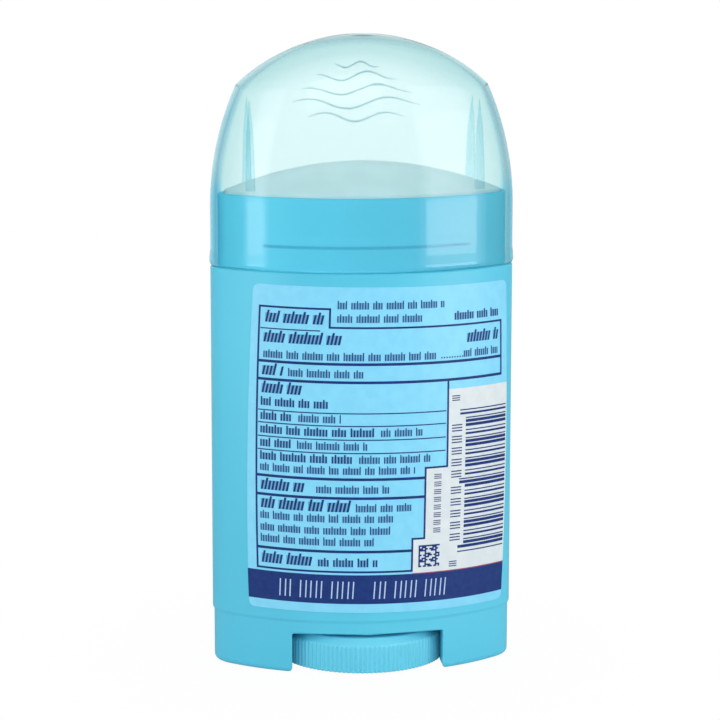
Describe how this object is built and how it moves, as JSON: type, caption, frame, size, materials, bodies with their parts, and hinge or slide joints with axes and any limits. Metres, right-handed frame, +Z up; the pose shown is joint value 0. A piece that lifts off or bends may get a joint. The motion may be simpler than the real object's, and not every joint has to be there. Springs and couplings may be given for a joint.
{
  "type": "twist-up deodorant stick",
  "caption": "Oval twist-up stick pack: clear domed cap, blue barrel with a label panel, thumbwheel with feed screw, carrier and a domed solid stick.",
  "frame": {"origin": "middle of the base, on the surface that the pack stands on", "axes": "+Z up along the pack, -Y towards the label side that the picture shows, +X to the right of that side"},
  "size_m": [0.0576, 0.0316, 0.1194],
  "materials": {
    "barrel_plastic": "satin",
    "wheel_plastic": "satin",
    "carrier_plastic": "satin",
    "stick_solid": "waxy",
    "clear_plastic": "gloss",
    "label_film": "satin",
    "dark_ink": "satin",
    "pale_ink": "satin"
  },
  "bodies": {
    "barrel_body": {"barrel": "barrel_plastic", "back_label": "label_film", "label_dark_print": "dark_ink", "label_pale_print": "pale_ink"},
    "thumbwheel_body": {"thumbwheel": "wheel_plastic"},
    "stick_body": {"elevator": "carrier_plastic", "product_stick": "stick_solid"},
    "cap_body": {"cap": "clear_plastic"}
  },
  "joints": [
    {"name": "thumbwheel_turn", "type": "hinge", "parent": "barrel_body", "child": "thumbwheel_body", "pos_m": [0, 0, 0.0083], "axis": [0, 0, 1], "range_deg": [0, 3600]},
    {"name": "elevator_lift", "type": "slide", "parent": "barrel_body", "child": "stick_body", "axis": [0, 0, 1], "range_m": [0, 0.04]},
    {"name": "cap_lift", "type": "slide", "parent": "stick_body", "child": "cap_body", "axis": [0, 0, 1], "range_m": [0, 0.05]}
  ],
  "couplings": [
    {"joint": "elevator_lift", "follows": "thumbwheel_turn", "m_per_rad": 0.0006366}
  ]
}
